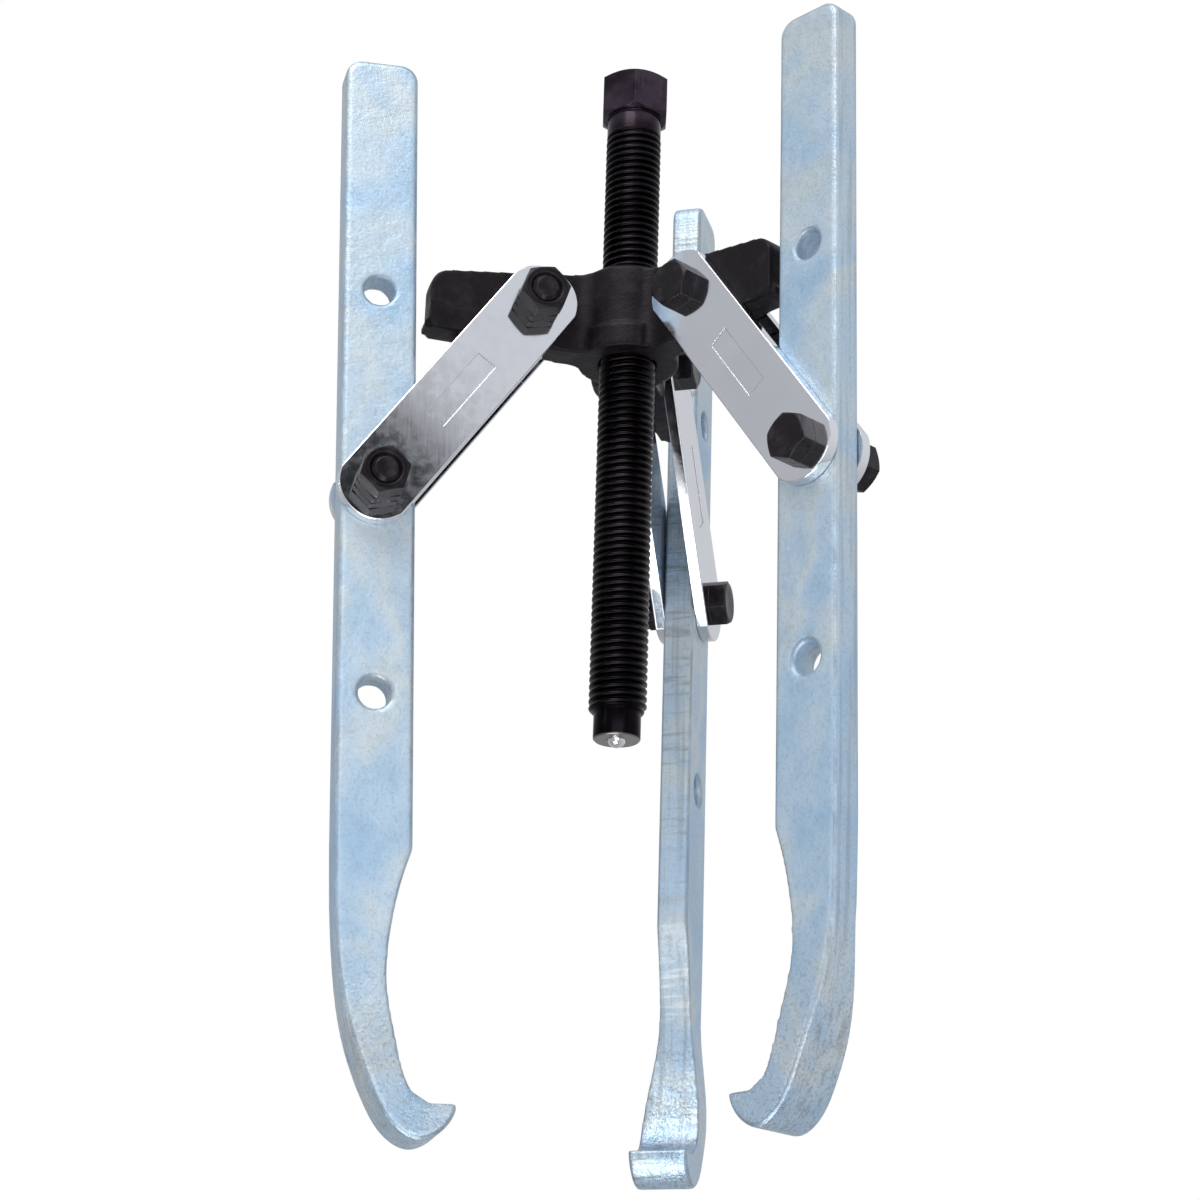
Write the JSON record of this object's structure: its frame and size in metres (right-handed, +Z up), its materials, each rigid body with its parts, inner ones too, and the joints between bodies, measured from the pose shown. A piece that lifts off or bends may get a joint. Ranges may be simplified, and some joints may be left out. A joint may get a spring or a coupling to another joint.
{
  "type": "gear puller",
  "caption": "Puller whose hooked jaws hang on paired flat straps from a yoke, with a hex-headed forcing screw and ball tip down the middle.",
  "frame": {"origin": "centre of the forcing screw's tip face, on the screw's axis", "axes": "+Z up along the screw's axis towards its hexagon head, +Y towards the rear jaw"},
  "size_m": [0.1832, 0.1668, 0.3786],
  "materials": {
    "forged_black": "forged, black oxide, semi-gloss",
    "blackened_steel": "machined, black oxide, semi-gloss",
    "polished_steel": "polished",
    "zinc_plate": "forged, satin bright zinc plate",
    "bright_plate": "polished bright plate"
  },
  "bodies": {
    "yoke": {"yoke": "forged_black"},
    "screw_carrier": {"tip_ball": "polished_steel"},
    "forcing_screw": {"forcing_screw": "blackened_steel"},
    "rear_straps": {"rear_nut_side_strap": "bright_plate", "rear_head_side_strap": "bright_plate", "rear_arm_bolt": "blackened_steel", "rear_arm_lock_nut": "blackened_steel", "rear_arm_nut": "blackened_steel", "rear_jaw_bolt": "blackened_steel", "rear_jaw_lock_nut": "blackened_steel", "rear_jaw_nut": "blackened_steel"},
    "rear_jaw": {"rear_jaw": "zinc_plate"},
    "left_straps": {"left_nut_side_strap": "bright_plate", "left_head_side_strap": "bright_plate", "left_arm_bolt": "blackened_steel", "left_arm_lock_nut": "blackened_steel", "left_arm_nut": "blackened_steel", "left_jaw_bolt": "blackened_steel", "left_jaw_lock_nut": "blackened_steel", "left_jaw_nut": "blackened_steel"},
    "left_jaw": {"left_jaw": "zinc_plate"},
    "right_straps": {"right_nut_side_strap": "bright_plate", "right_head_side_strap": "bright_plate", "right_arm_bolt": "blackened_steel", "right_arm_lock_nut": "blackened_steel", "right_arm_nut": "blackened_steel", "right_jaw_bolt": "blackened_steel", "right_jaw_lock_nut": "blackened_steel", "right_jaw_nut": "blackened_steel"},
    "right_jaw": {"right_jaw": "zinc_plate"}
  },
  "joints": [
    {"name": "screw_travel", "type": "slide", "parent": "yoke", "child": "screw_carrier", "axis": [0, 0, 1], "range_m": [-0.0508, 0.1016]},
    {"name": "screw_spin", "type": "hinge", "parent": "screw_carrier", "child": "forcing_screw", "pos_m": [0, 0, 0], "axis": [0, 0, 1], "range_deg": [-7201, 14401]},
    {"name": "rear_strap_swing", "type": "hinge", "parent": "yoke", "child": "rear_straps", "pos_m": [0, 0.0337, 0.1484], "axis": [1, 0, 0], "range_deg": [-9, 30]},
    {"name": "rear_jaw_swing", "type": "hinge", "parent": "rear_straps", "child": "rear_jaw", "pos_m": [0, 0.08968, 0.08024], "axis": [-1, 0, 0], "range_deg": [-3, 30]},
    {"name": "left_strap_swing", "type": "hinge", "parent": "yoke", "child": "left_straps", "pos_m": [-0.02918, -0.01685, 0.1484], "axis": [-0.5, 0.866, 0], "range_deg": [-6, 30]},
    {"name": "left_jaw_swing", "type": "hinge", "parent": "left_straps", "child": "left_jaw", "pos_m": [-0.07267, -0.04195, 0.07589], "axis": [0.5, -0.866, 0], "range_deg": [-1, 30]},
    {"name": "right_strap_swing", "type": "hinge", "parent": "yoke", "child": "right_straps", "pos_m": [0.02918, -0.01685, 0.1484], "axis": [-0.5, -0.866, 0], "range_deg": [-8, 30]},
    {"name": "right_jaw_swing", "type": "hinge", "parent": "right_straps", "child": "right_jaw", "pos_m": [0.07451, -0.04302, 0.07741], "axis": [0.5, 0.866, 0], "range_deg": [0, 30]}
  ],
  "couplings": [
    {"joint": "screw_spin", "follows": "screw_travel", "rad_per_m": 2473.7}
  ]
}
